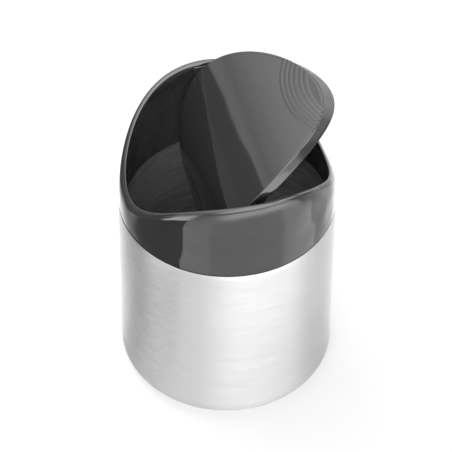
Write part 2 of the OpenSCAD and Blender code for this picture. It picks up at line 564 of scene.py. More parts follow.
@dataclass(frozen=True)
class BinSizes:
    """What all the sub-assemblies share, read from the frame, in metres and radians."""

    can_radius: float
    can_height: float
    crown_height: float
    pivot_height: float
    tip_angle: float

    @classmethod
    def from_frame(cls, frame: dict) -> "BinSizes":
        """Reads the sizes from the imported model.


        Returns:
            The sizes.
        """
        hinge = next(joint for joint in frame["joints"] if joint["name"] == "lid_swing")
        low, high = hinge["range_deg"]
        can_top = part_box("steel_body")[1]
        return cls(
            can_radius=can_top.x,
            can_height=can_top.z,
            crown_height=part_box("collar")[1].z,
            pivot_height=hinge["pos_m"][2],
            tip_angle=math.radians(high - low) / 2,
        )

    def tipped(self) -> Matrix:
        """Gives the lid's place at rest, from closed at the origin to tipped on its pivots."""
        turn = Matrix.Rotation(-self.tip_angle, 4, "Y")
        return Matrix.Translation((0.0, 0.0, self.pivot_height)) @ turn


class Streaks(NamedTuple):
    """Noise drawn out round the can: its waves in a metre round the can, its waves in a metre of
    height, and its detail."""

    along: float
    across: float
    detail: float


@dataclass(frozen=True)
class BrushedSteel:
    """Stainless steel brushed round the can, with fine and coarse streaks; painted shade inside with
    painted light towards +X, painted shade on its cut edge, and painted light on its -X side.
    """

    grey: float = 0.53
    # painted shade and light: the inside of the can is made darker than the outside, and paler towards +X
    inside_painted_shade_grey: float = 0.26
    inside_painted_light: float = 0.6
    inside_grain: float = 6.0
    inside_reach: float = 10.2 * MM
    base_round: float = 10.5 * MM
    round_centre: float = 49.5 * MM
    # painted shade: above this height the can's cut edge is made nearly black
    seam_height: float = 117.8 * MM
    seam_shade: float = 0.06
    scuff_side: tuple[float, float, float] = (-0.98, -0.2, 0.0)
    scuff_edge: Span = (38.0 * MM, 56.0 * MM)
    # painted light: the -X side of the steel is made up to this share paler
    scuff_side_painted_light: float = 0.14
    fine: Streaks = Streaks(60, 1050, 3)
    fine_tone: float = 0.16
    fine_rough: float = 0.12
    coarse: Streaks = Streaks(24, 420, 4)
    coarse_tone: float = 0.08
    coarse_rough: float = 0.15
    cloud: Streaks = Streaks(18, 14, 2)
    cloud_tone: float = 0.03
    flecks: Streaks = Streaks(130, 950, 2)
    fleck_tone: float = 0.5
    fleck_depth: float = 0.05 * MM
    streak_roughness: float = 0.6
    roughness: float = 0.43
    anisotropy: float = 0.85
    across_rotation: float = 0.25

    def streaks(self, tree: Tree, kind: Streaks) -> Field:
        """Gives one kind of noise drawn out round the can, from 0 to 1."""
        scale = (kind.along, kind.along, kind.across)
        stretched = tree.node("ShaderNodeMapping", {"Vector": tree.place(), "Scale": scale})
        return tree.noise(stretched, 1.0, kind.detail, self.streak_roughness)

    def inside(self, tree: Tree) -> Field:
        """Gives 1 inside the can and 0 outside it, down to its rounded base."""
        x, y, height = tree.split(tree.place())
        over = tree.math("MAXIMUM", tree.hypotenuse(x, y) - self.round_centre, 0.0)
        under = tree.math("MINIMUM", height - self.base_round, 0.0)
        return tree.math("LESS_THAN", tree.hypotenuse(over, under), self.inside_reach)

    def seam(self, tree: Tree) -> Field:
        """Gives 1 on the can and less on its cut edge: painted shade, as it lies dark under the collar."""
        _, _, height = tree.split(tree.place())
        return 1.0 - tree.math("GREATER_THAN", height, self.seam_height) * (1.0 - self.seam_shade)

    def scuffed_and_painted_light(self, tree: Tree) -> Field:
        """Gives how strongly the brushing shows, up to 1 on the side where it is coarsest; it also sets
        where that side gets painted light.
        """
        facing = tree.vector("DOT_PRODUCT", tree.place(), self.scuff_side, out="Value")
        return tree.ease(facing, *self.scuff_edge)

    def material(self) -> Material:
        """Builds the material."""
        made, tree = new_material("brushed_steel")
        kinds = (self.fine, self.coarse, self.cloud, self.flecks)
        fine, coarse, cloud, flecks = (self.streaks(tree, kind) for kind in kinds)
        inside, scuffed_and_painted_light = self.inside(tree), self.scuffed_and_painted_light(tree)
        x, _, _ = tree.split(tree.place())
        # painted light and shade: the inside is made darker than the outside, and paler towards +X
        bright = tree.ease(x, 0.0, self.round_centre) * self.inside_painted_light
        # painted shade: the cut edge under the collar is made nearly black
        shade = (self.grey + inside * (self.inside_painted_shade_grey - self.grey + bright)) * self.seam(tree)
        grain = (fine - 0.5) * self.fine_tone + (coarse - 0.5) * self.coarse_tone
        grain = grain + (cloud - 0.5) * (1.0 - inside) * self.cloud_tone
        grain = grain + (flecks - 0.5) * scuffed_and_painted_light * self.fleck_tone
        # painted light: the -X side is made paler; the flecks there are grain
        tone = shade * (1.0 + grain * (1.0 + inside * self.inside_grain) + scuffed_and_painted_light * self.scuff_side_painted_light)
        rough = self.roughness + (coarse - 0.5) * self.coarse_rough + (fine - 0.5) * self.fine_rough
        sockets = {
            "Base Color": tree.join(tone, tone, tone),
            "Metallic": 1.0,
            "Roughness": rough,
            "Anisotropic": self.anisotropy,
            "Anisotropic Rotation": self.across_rotation,
            "Normal": tree.bump(flecks, self.fleck_depth),
        }
        tree.surface(tree.node("ShaderNodeBsdfPrincipled", sockets))
        return made


@dataclass(frozen=True)
class MouldedPlastic:
    """Dark polished plastic with the slow waves of a moulding, faint grain, a little dust, and painted
    light that can make an inner wall paler.

    Each noise is its waves per metre and its detail.
    """

    name: str
    grey: float
    roughness: float
    index: float = 1.7
    wave_depth: float = 0.15 * MM
    wave_noise: Span = (30.0, 0.0)
    grain_depth: float = 0.006 * MM
    grain_noise: Span = (900.0, 2.0)
    grain_strength: float = 0.6
    tone_noise: Span = (30.0, 3.0)
    tone_low: float = 0.92
    tone_range: float = 0.16
    tone_blue: float = 1.02
    rough_noise: Span = (55.0, 4.0)
    rough_range: float = 0.03
    specks_per_metre: float = 130.0
    speck_edge: Span = (0.03, 0.06)
    speck_light: float = 0.05
    speck_rough: float = 0.4
    dust_noise: Span = (70.0, 0.0)
    dust_edge: Span = (0.66, 0.7)
    inner_radius: float = 0.0
    # painted light: how much paler the inner wall is made
    inner_wall_painted_light: float = 0.0
    inner_softness: float = 0.6 * MM

    def inner(self, tree: Tree) -> Field:
        """Gives 1 on the inner wall that gets painted light, nearer to Z than its radius, and 0 elsewhere.
        """
        x, y, _ = tree.split(tree.place())
        start = self.inner_radius - self.inner_softness
        return 1.0 - tree.ease(tree.hypotenuse(x, y), start, self.inner_radius)

    def dust(self, tree: Tree) -> Field:
        """Gives sparse specks, 1 on a speck and 0 off it."""
        sockets = {"Vector": tree.place(), "Scale": self.specks_per_metre}
        near = tree.node("ShaderNodeTexVoronoi", sockets, out="Distance")
        rare = tree.ease(tree.noise(tree.place(), *self.dust_noise), *self.dust_edge)
        return (1.0 - tree.ease(near, *self.speck_edge)) * rare

    def material(self) -> Material:
        """Builds the material."""
        made, tree = new_material(self.name)
        place, specks = tree.place(), self.dust(tree)
        tone = self.grey * (self.tone_low + tree.noise(place, *self.tone_noise) * self.tone_range)
        # painted light on the inner wall; the specks are dust
        tone = tone + specks * self.speck_light + self.inner(tree) * self.inner_wall_painted_light
        rough = self.roughness + tree.noise(place, *self.rough_noise) * self.rough_range
        waves = tree.bump(tree.noise(place, *self.wave_noise), self.wave_depth)
        grain = tree.noise(place, *self.grain_noise)
        sockets = {
            "Base Color": tree.join(tone, tone, tone * self.tone_blue),
            "Roughness": rough + specks * self.speck_rough,
            "IOR": self.index,
            "Normal": tree.bump(grain, self.grain_depth, Strength=self.grain_strength, Normal=waves),
        }
        tree.surface(tree.node("ShaderNodeBsdfPrincipled", sockets))
        return made


@dataclass
class SteelCan:
    """The drawn can."""

    sizes: BinSizes
    wall: float = 0.6 * MM
    base_round: float = 10.5 * MM
    ring_radius: float = 42.0 * MM
    panel_lift: float = 0.8 * MM
    panel_step: float = 2.2 * MM
    edge_round: float = 0.12 * MM
    side_steps: int = 24
    round_steps: int = 14
    ring_steps: int = 3
    stations: int = 256

    def section(self) -> list[SectionPoint]:
        """Gives the can's section, from the panel's middle outside to its middle inside."""
        radius, wall, edge = self.sizes.can_radius, self.wall, self.edge_round
        corner = (radius - self.base_round, self.base_round)
        side, top = corner[1], self.sizes.can_height - edge
        ring, panel = self.ring_radius, self.ring_radius - self.panel_step
        outside = [
            *(SectionPoint(reach, self.panel_lift) for reach in (0.0, panel / 2, panel)),
            SectionPoint(ring, 0.0),
            *run(SectionPoint(ring, 0.0), SectionPoint(corner[0], 0.0), self.ring_steps),
            *arc(corner, (self.base_round,) * 2, (-90, 0), self.round_steps),
            *run(SectionPoint(radius, side), SectionPoint(radius, top), self.side_steps),
        ]
        lip = [
            *arc((radius - edge, top), (edge, edge), (0, 90), ROUND_STEPS),
            *arc((radius - wall + edge, top), (edge, edge), (90, 180), ROUND_STEPS),
        ]
        bore, inner = radius - wall, self.base_round - wall
        inside = [
            *run(SectionPoint(bore, top), SectionPoint(bore, side), self.side_steps),
            *arc(corner, (inner, inner), (0, -90), self.round_steps),
            SectionPoint(ring, wall),
            *(SectionPoint(reach, self.panel_lift + wall) for reach in (panel, panel / 2, 0.0)),
        ]
        return [*outside, *lip, *inside]

    def build(self) -> list[Object]:
        """Makes the can and hands it to its body."""
        material = BrushedSteel().material()
        tree = sweep_tree("drawn_can", self.stations, {}, lambda _tree, _along, _bend: 0.0)
        mesh = tree.grow("steel_can", section_mesh(self.section(), False), material)
        can = shown("steel_can", tidy_mesh(mesh), material)
        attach(can, "can")
        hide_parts("steel_body")
        return [can]


@dataclass
class Collar:
    """The moulded collar with its saddle rim and its two pivot lugs."""

    sizes: BinSizes
    rim_bow: float = 17.5 * MM
    rim_fall: float = 23.3 * MM
    wall: float = 2.7 * MM
    lip_width: float = 4.4 * MM
    lip_round_width: float = 2.4 * MM
    lip_round_height: float = 8.0 * MM
    lip_drop: float = 2.0 * MM
    lip_face: float = 2.4 * MM
    lip_under: float = 1.4 * MM
    lip_edge: float = 0.5 * MM
    lip_square: float = 1.4 * MM
    plug_depth: float = 7.5 * MM
    plug_gap: float = 0.7 * MM
    plug_lead: float = 0.7 * MM
    seam_groove: float = 1.2 * MM
    seam_gap: float = 0.45 * MM
    seam_bow: float = 0.7 * MM
    lug_half: float = 4.4 * MM
    stop_reach: float = 4.7 * MM
    stop_drop: float = 8.0 * MM
    gusset: float = 8.0 * MM
    boss_proud: float = 0.4 * MM
    boss_drop: float = 9.0 * MM
    boss_rise: float = 2.8 * MM
    bore_radius: float = 1.48 * MM
    bore_depth: float = 3.4 * MM
    bore_chamfer: float = 0.01 * MM
    lug_gap: float = 0.3 * MM
    pin_radius: float = 1.4 * MM
    lid_under: float = 1.25 * MM
    lid_gap: float = 2.5 * MM
    root: float = 0.5 * MM
    edge_round: float = 0.35 * MM
    plastic_grey: float = 0.02
    plastic_roughness: float = 0.03
    wave_depth: float = 0.8 * MM
    wave_noise: Span = (62.0, 0.0)
    # painted light that makes the collar's inner wall paler
    inner_wall_painted_light: float = 0.016
    face_steps: int = 12
    lip_steps: int = 16
    crest_steps: int = 10
    foot_angle: float = 235.0
    foot_steps: int = 4
    wall_steps: int = 14
    stations: int = 384

    @property
    def mouth_radius(self) -> float:
        """Radius of the mouth, inside the lip."""
        return self.sizes.can_radius - self.lip_width

    @property
    def inner_radius(self) -> float:
        """Radius of the collar's inner wall."""
        return self.sizes.can_radius - self.wall

    @property
    def crest_radius(self) -> float:
        """Radius of the lip's crest."""
        return self.sizes.can_radius - self.lip_round_width

    def squared(self, point: SectionPoint) -> SectionPoint:
        """Pushes a point of the lip out at the ends of X, the most on the lip's crest."""
        outer = (self.sizes.can_radius - point.radius) / self.lip_round_width
        inner = (point.radius - self.mouth_radius) / (self.crest_radius - self.mouth_radius)
        return point._replace(draw=-self.lip_square * min(outer, inner))

    def section(self) -> list[SectionPoint]:
        """Gives the collar's closed section, from the seat outwards and over the lip."""
        radius, seat = self.sizes.can_radius, self.sizes.can_height
        plug, crest, mouth = radius - self.plug_gap, self.crest_radius, self.mouth_radius
        groove_top = SectionPoint(radius, seat + self.seam_gap, sink=-self.seam_bow)
        lip_foot = SectionPoint(radius, -self.lip_round_height, 1.0)
        face_foot = -self.lip_drop - self.lip_face
        under = SectionPoint(self.inner_radius, face_foot - self.lip_under, 1.0)
        plug_foot = SectionPoint(self.inner_radius, seat - self.plug_depth)
        outer, inner = (self.lip_round_width, self.lip_round_height), (crest - mouth, self.lip_drop)
        lip = [
            *arc((crest, -self.lip_round_height), outer, (0, 90), self.lip_steps, 1.0),
            *arc((crest, -self.lip_drop), inner, (90, 180), self.crest_steps, 1.0)[1:],
        ]
        edge = self.lip_edge
        lower = (180, self.foot_angle)
        return [
            SectionPoint(plug, seat),
            SectionPoint(radius - self.seam_groove, seat),
            groove_top._replace(radius=radius - self.seam_groove),
            groove_top,
            *run(groove_top, lip_foot, self.face_steps),
            *(self.squared(point) for point in lip),
            *arc((mouth + edge, face_foot + edge), (edge, edge), lower, self.foot_steps, 1.0),
            under,
            *run(under, plug_foot, self.wall_steps),
            plug_foot,
            SectionPoint(plug - self.plug_lead, plug_foot.height),
            SectionPoint(plug, plug_foot.height + self.plug_lead),
        ]

    def shell(self, material: Material) -> Mesh:
        """Sweeps the section round, with its lip on the saddle rim.

        Args:
            material: The collar's finish.

        Returns:
            The mesh.
        """

        def rim(tree: GeometryTree, along: Field, bend: Field) -> Value:
            """Gives the rim's height times the point's bend."""
            share = tree.math("ABSOLUTE", along) / tree.given("Radius")
            fall = tree.given("Bow") * share**2.0 + tree.given("Fall") * share**4.0
            return bend * (tree.given("Crown") - fall)

        values = {
            "Radius": self.sizes.can_radius,
            "Crown": self.sizes.crown_height,
            "Bow": self.rim_bow,
            "Fall": self.rim_fall,
        }
        tree = sweep_tree("saddle_collar", self.stations, values, rim)
        return tidy_mesh(tree.grow("collar_shell", section_mesh(self.section(), True), material))

    def lugs(self) -> Mesh:
        """Makes the bearing boss and stop block at both pivots."""
        half, tip = self.lug_half, self.sizes.tip_angle
        wall = self.inner_radius + self.root
        reach = self.lid_under - 2 * self.lug_gap
        top = -self.pin_radius - self.lug_gap
        top_half = (reach - top * math.cos(tip)) / math.sin(tip)
        side = (reach - half * math.sin(tip)) / math.cos(tip)
        feet = (
            (self.mouth_radius - self.stop_reach, -self.stop_drop),
            (self.mouth_radius - self.lid_gap + self.lug_gap, -self.stop_drop),
            (wall, -self.stop_drop - self.gusset),
        )
        block = [along_y(both_sides([(half, foot), (half, side), (top_half, top)]), y) for y, foot in feet]
        front = self.mouth_radius - self.boss_proud
        outline = both_sides([(half, -self.boss_drop), (half, self.boss_rise)])
        boss = bevelled(loft_mesh("boss", [along_y(outline, y) for y in (front, wall)]), self.edge_round)
        ends = (front - self.root, front + self.bore_depth)
        bore = rod_mesh("bore", self.bore_radius, ends, self.bore_chamfer)
        parts = [bevelled(loft_mesh("block", block), self.edge_round), cut_by(boss, [bore])]
        both = merged("collar_pivots", facing_pair(merged("lug", parts)))
        both.transform(Matrix.Translation((0.0, 0.0, self.sizes.pivot_height)))
        return tidy_mesh(both)

    def build(self) -> list[Object]:
        """Makes the collar's pieces and hands them to its body."""
        material = MouldedPlastic(
            "collar_plastic",
            self.plastic_grey,
            self.plastic_roughness,
            wave_depth=self.wave_depth,
            wave_noise=self.wave_noise,
            inner_radius=self.inner_radius + self.edge_round,
            inner_wall_painted_light=self.inner_wall_painted_light,
        ).material()
        shell = shown("collar_shell", self.shell(material), material)
        pivots = shown("collar_pivots", self.lugs(), material)
        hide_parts("collar")
        for piece in (shell, pivots):
            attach(piece, "top")
        return [shell, pivots]


@dataclass
class SwingLid:
    """The barrel-topped lid with its skirt, webs, stub pins and grip ribs."""

    sizes: BinSizes
    collar: Collar
    top_fall: float = 28.7 * MM
    rise: float = 3.05 * MM
    wall: float = 1.8 * MM
    skirt_wall: float = 1.8 * MM
    skirt_height: float = 6.1 * MM
    edge_round: float = 0.45 * MM
    end_draw: float = 0.65 * MM
    end_groove: float = 0.3 * MM
    groove_half: float = 0.24 * MM
    foot_round: float = 0.4 * MM
    notch_half: float = 9.2 * MM
    notch_past: float = 1.0 * MM
    stop_gap: float = 0.2 * MM
    web_wall: float = 1.8 * MM
    web_drop: float = 6.0 * MM
    web_foot_half: float = 5.0 * MM
    web_half: float = 11.0 * MM
    web_shoulder: float = 1.0 * MM
    web_round: float = 0.3 * MM
    pin_seat: float = 3.0 * MM
    pin_chamfer: float = 0.3 * MM
    rib_count: int = 6
    rib_pitch: float = 1.9 * MM
    rib_width: float = 1.9 * MM
    rib_height: float = 0.55 * MM
    rib_nose: float = 0.8 * MM
    rib_inset: float = 0.2 * MM
    rib_root: float = 0.3 * MM
    rib_arc: float = 72.0 * MM
    rib_margin: float = 4.7 * MM
    rib_spread: float = 52.0
    rib_stations: int = 420
    rib_sides: int = 20
    rib_waist: float = 0.001
    plastic_grey: float = 0.022
    plastic_roughness: float = 0.05
    skirt_steps: int = 4
    edge_steps: int = 6
    stations: int = 320
    rings: int = 36

    @property
    def radius(self) -> float:
        """Radius of the lid in plan."""
        return self.collar.mouth_radius - self.collar.lid_gap

    @property
    def barrel(self) -> float:
        """Radius of the barrel-shaped top."""
        return (self.radius**2 + self.top_fall**2) / (2 * self.top_fall)

    @property
    def web_face(self) -> float:
        """Distance of the webs' outer faces from the middle."""
        return self.collar.mouth_radius - self.collar.stop_reach - 2 * self.collar.lug_gap

    def section(self) -> list[SectionPoint]:
        """Gives the lid's section, from the middle of its top to the middle of its underside."""
        outer, edge, foot = self.radius, self.edge_round, self.foot_round
        inner = outer - self.skirt_wall
        low = foot - self.skirt_height
        middle, under = SectionPoint(0.0, 0.0), SectionPoint(0.0, 0.0, self.wall)
        rim = SectionPoint(outer - edge, 0.0, draw=self.end_draw)
        groove_start = rim._replace(radius=rim.radius - 2 * self.groove_half)
        rim_round = arc((outer - edge, -edge), (edge, edge), (90, 0), self.edge_steps)
        skirt_top = SectionPoint(outer, -edge, draw=self.end_draw)
        ceiling = SectionPoint(inner, 0.0, self.wall)
        return [
            middle,
            *run(middle, groove_start._replace(draw=0.0), self.rings),
            groove_start,
            rim._replace(radius=rim.radius - self.groove_half, sink=self.end_groove),
            *(point._replace(draw=self.end_draw) for point in rim_round),
            *run(skirt_top, SectionPoint(outer, low), self.skirt_steps),
            *arc((outer - foot, low), (foot, foot), (0, -90), ROUND_STEPS),
            *arc((inner + foot, low), (foot, foot), (-90, -180), ROUND_STEPS),
            *run(SectionPoint(inner, low), ceiling, self.skirt_steps),
            ceiling,
            *run(ceiling, under, self.rings),
            under,
        ]

    def notch(self) -> list[Mesh]:
        """Makes the solids that notch the skirt round each pivot."""
        tip, half = self.sizes.tip_angle, self.notch_half
        flank = self.collar.lug_half + self.stop_gap
        corner = (flank - half * math.cos(tip)) / math.sin(tip)
        ceiling = self.rise - self.wall / 2
        top_half = (flank - ceiling * math.sin(tip)) / math.cos(tip)
        outline = both_sides([(half, -2 * self.skirt_height), (half, corner), (top_half, ceiling)])
        ends = (self.web_face - self.web_wall, self.radius + self.notch_past)
        return facing_pair(loft_mesh("notch", [along_y(outline, y) for y in ends]))

    def shell(self, material: Material) -> Mesh:
        """Sweeps the section round, bent over the barrel, and notches its skirt.

        Args:
            material: The lid's finish.

        Returns:
            The mesh, closed at the origin.
        """

        def over_barrel(tree: GeometryTree, along: Field, bend: Field) -> Value:
            """Gives the barrel's height, as far below its surface as the point's bend."""
            inside = tree.given("Barrel") - bend
            height = tree.math("SQRT", inside * inside - along * along)
            return height - tree.given("Barrel") + tree.given("Rise")

        values = {"Barrel": self.barrel, "Rise": self.rise}
        tree = sweep_tree("barrel_lid", self.stations, values, over_barrel)
        whole = tidy_mesh(tree.grow("lid_shell", section_mesh(self.section(), False), material))
        return tidy_mesh(cut_by(whole, self.notch()))

    def pivots(self) -> Mesh:
        """Makes the web and stub pin at both pivots, closed at the origin."""
        face = self.web_face
        top = self.rise - self.wall / 2
        right = [
            (self.web_foot_half, -self.web_drop),
            (self.web_half, self.rise - self.skirt_height),
            (self.web_half, top - self.web_shoulder),
            (0.0, top),
        ]
        web = loft_mesh("web", [along_y(both_sides(right), y) for y in (face - self.web_wall, face)])
        pin_end = self.collar.mouth_radius - self.collar.boss_proud + self.pin_seat
        ends = (face - self.web_wall / 2, pin_end)
        pin = rod_mesh("pin", self.collar.pin_radius, ends, self.pin_chamfer)
        side = merged("pivot", [bevelled(web, self.web_round), tidy_mesh(pin)])
        return tidy_mesh(merged("lid_pivots", facing_pair(side)))

    def rib_values(self) -> dict[str, int | float]:
        """Gives the inputs of the ribs' tree."""
        first = self.radius - self.rib_margin - (self.rib_count - 0.5) * self.rib_pitch
        return {
            "Count": self.rib_count,
            "Pitch": self.rib_pitch,
            "Arc": self.rib_arc,
            "Centre": first + self.rib_arc,
            "Width": self.rib_width,
            "Height": self.rib_height,
            "Root": self.rib_root,
            "Barrel": self.barrel,
            "Rise": self.rise,
            "Trim": self.radius - self.rib_inset,
            "Draw": self.end_draw,
            "Nose": self.rib_nose,
        }

    def rib_tree(self) -> GeometryTree:
        """Builds the tree that lays the ribs over the barrel.

        Each rib is an arc in plan about one centre. It is swept flat, as wide and high as a rib,
        and then wrapped onto the barrel along the barrel's normal.

        Returns:
            The tree.
        """
        tree = GeometryTree("grip_ribs", self.rib_values())
        sockets = {"Count": tree.given("Count"), "Offset": (0.0, 0.0, 0.0)}
        row = tree.node("GeometryNodeMeshLine", sockets)
        spread = math.radians(self.rib_spread)
        sockets = {
            "Resolution": self.rib_stations,
            "Radius": 1.0,
            "Start Angle": math.pi - spread,
            "Sweep Angle": 2 * spread,
        }
        circle = tree.node("GeometryNodeCurveArc", sockets, settings={"mode": "RADIUS"})
        size = tree.given("Arc") - tree.node("GeometryNodeInputIndex") * tree.given("Pitch")
        sockets = {"Points": row, "Instance": circle, "Scale": tree.join(size, size, 1.0)}
        arcs = tree.node("GeometryNodeInstanceOnPoints", sockets)
        real = tree.node("GeometryNodeRealizeInstances", {"Geometry": arcs})
        sockets = {"Geometry": real, "Offset": tree.join(tree.given("Centre"), 0.0, 0.0)}
        laid = tree.node("GeometryNodeSetPosition", sockets)
        x, y, high = tree.position()
        away = tree.hypotenuse(x, y)
        limit = tree.given("Trim") - tree.given("Draw") * end_share(x, away)
        sockets = {"Geometry": laid, "Selection": tree.math("GREATER_THAN", away, limit)}
        kept = tree.node("GeometryNodeDeleteGeometry", sockets, settings={"domain": "POINT"})
        upright = tree.node("GeometryNodeSetCurveNormal", {"Curve": kept}, settings={"mode": "Z_UP"})
        ring = tree.node("GeometryNodeCurvePrimitiveCircle", {"Resolution": self.rib_sides, "Radius": 1.0})
        above = tree.math("GREATER_THAN", y, self.rib_waist)
        bell = above * y**4.0 * tree.given("Height") - (1.0 - above) * y**2.0 * tree.given("Root")
        profile = tree.moved(ring, tree.join(x * tree.given("Width") / 2.0, bell, 0.0))
        sockets = {"Curve": upright, "Profile Curve": profile, "Fill Caps": True}
        bars = tree.node("GeometryNodeCurveToMesh", sockets)
        reach = (limit - away) / tree.given("Nose")
        nose = 1.0 - tree.math("MINIMUM", tree.math("MAXIMUM", reach, 0.0), 1.0)
        proud = high * tree.math("SQRT", 1.0 - nose * nose)
        barrel = tree.given("Barrel")
        lean = x / barrel
        stand = tree.math("SQRT", 1.0 - lean * lean)
        height = (barrel + proud) * stand - barrel + tree.given("Rise")
        wrapped = tree.moved(bars, tree.join(x + proud * lean, y, height))
        sockets = {"Geometry": wrapped, "Rotation": (0.0, 0.0, math.pi)}
        turned = tree.node("GeometryNodeTransform", sockets)
        both = tree.node("GeometryNodeJoinGeometry", {"Geometry": wrapped})
        tree.owner.links.new(turned.socket, both.socket.node.inputs["Geometry"])
        tree.close(both)
        return tree

    def ribs(self, material: Material) -> Mesh:
        """Makes the grip ribs at both ends, closed at the origin."""
        start = bpy.data.meshes.new("start")
        return tidy_mesh(self.rib_tree().grow("lid_grip_ribs", start, material))

    def build(self) -> list[Object]:
        """Makes the lid's pieces, tips them as at rest and hands them to its body."""
        material = MouldedPlastic("lid_plastic", self.plastic_grey, self.plastic_roughness).material()
        meshes = {
            "lid_shell": self.shell(material),
            "lid_pivots": self.pivots(),
            "lid_grip_ribs": self.ribs(material),
        }
        pieces = []
        for name, mesh in meshes.items():
            mesh.transform(self.sizes.tipped())
            piece = shown(name, mesh, material)
            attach(piece, "lid")
            pieces.append(piece)
        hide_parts("swing_lid")
        return pieces


@dataclass(frozen=True)
class PhotoCamera:
    """The camera at the photograph's place, in degrees, metres and pixels of its frame."""

    azimuth: float = -15.3
    elevation: float = 46.396
    roll: float = 0.456
    distance: float = 1857.18 * MM
    shift_right: float = 0.038 * MM
    shift_up: float = 65.35 * MM
    focal_px: float = 3207.06
    frame_px: float = 452.0
    sensor: float = 36.0
    clip: Span = (0.05, 50.0)

    def axes(self) -> tuple[Vector, Vector, Vector]:
        """Gives the camera's right, up and back, rolled."""
        back = outward(self.azimuth, self.elevation)
        right = outward(self.azimuth + 90.0, 0.0)
        up = back.cross(right)
        cosine, sine = math.cos(math.radians(self.roll)), math.sin(math.radians(self.roll))
        return right * cosine + up * sine, up * cosine - right * sine, back

    def build(self) -> None:
        """Makes the camera and gives it to the scene."""
        right, up, back = self.axes()
        data = bpy.data.cameras.new("photo_camera")
        data.sensor_width = self.sensor
        data.lens = self.focal_px / self.frame_px * self.sensor
        data.clip_start, data.clip_end = self.clip
        camera = placed("photo_camera", data)
        place = back * self.distance + right * self.shift_right + up * self.shift_up
        turn = Matrix((right, up, back)).transposed().to_4x4()
        camera.matrix_world = Matrix.Translation(place) @ turn
        bpy.context.scene.camera = camera


class Lamp(NamedTuple):
    """A square soft lamp: its name, its place, its side in metres and its power in watts."""

    name: str
    place: tuple[float, float, float]
    size: float
    power: float


